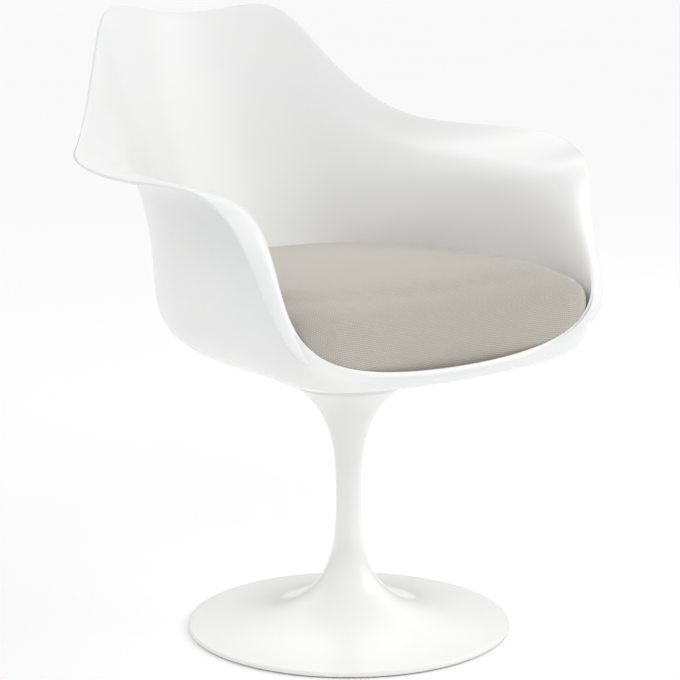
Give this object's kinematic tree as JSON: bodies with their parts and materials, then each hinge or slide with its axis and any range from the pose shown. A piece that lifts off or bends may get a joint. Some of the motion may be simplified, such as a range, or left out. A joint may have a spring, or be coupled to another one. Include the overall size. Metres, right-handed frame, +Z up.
{
  "type": "pedestal swivel armchair",
  "caption": "Swivel armchair with a one-piece moulded shell flowing into flared arms, a loose crowned seat cushion and a trumpet-shaped round pedestal.",
  "frame": {"origin": "on the swivel axis in the plane of the floor, at the centre of the floor ring's foot face", "axes": "+Z up along the swivel axis; -Y the way the sitter faces; +X to the sitter's left"},
  "size_m": [0.7518, 0.6119, 0.8104],
  "materials": {
    "pedestal_finish": "satin white powder coat over cast aluminium",
    "floor_rubber": "matt grey-black rubber",
    "bearing_steel": "ground steel",
    "bush_bronze": "sintered bronze",
    "cage_brass": "pressed brass",
    "zinc_steel": "zinc plated",
    "shell_gloss": "high-gloss white moulded plastic",
    "tape_dark": "nylon hook tape",
    "tape_grey": "nylon loop tape",
    "foam": "open-cell seat foam",
    "cover_weave": "woven upholstery cloth, light greige",
    "cover_lining": "plain lining cloth"
  },
  "bodies": {
    "pedestal": {"pedestal": "pedestal_finish", "floor_ring": "floor_rubber", "thrust_race_lower": "bearing_steel", "upper_bush": "bush_bronze", "lower_bush": "bush_bronze"},
    "bearing_cage": {"thrust_cage": "cage_brass", "thrust_balls": "bearing_steel"},
    "seat": {"thrust_race_upper": "bearing_steel", "seat_hub": "pedestal_finish", "hub_inserts": "cage_brass", "spindle": "bearing_steel", "retaining_washer": "zinc_steel", "retaining_screw": "zinc_steel", "shell": "shell_gloss", "shell_washers": "zinc_steel", "shell_screws": "zinc_steel", "hook_disc": "tape_dark"},
    "cushion": {"loop_disc": "tape_grey", "cushion_foam": "foam", "cushion_cover_top": "cover_weave", "cushion_cover_base": "cover_lining"}
  },
  "joints": [
    {"name": "seat_swivel", "type": "hinge", "parent": "pedestal", "child": "seat", "pos_m": [0, 0, 0.333], "axis": [0, 0, 1], "continuous": true},
    {"name": "cage_spin", "type": "hinge", "parent": "pedestal", "child": "bearing_cage", "pos_m": [0, 0, 0.3245], "axis": [0, 0, 1], "continuous": true},
    {"name": "cushion_lift", "type": "slide", "parent": "seat", "child": "cushion", "axis": [0, 0, 1], "range_m": [0, 0.3]}
  ],
  "couplings": [
    {"joint": "cage_spin", "follows": "seat_swivel", "ratio": 0.5}
  ]
}
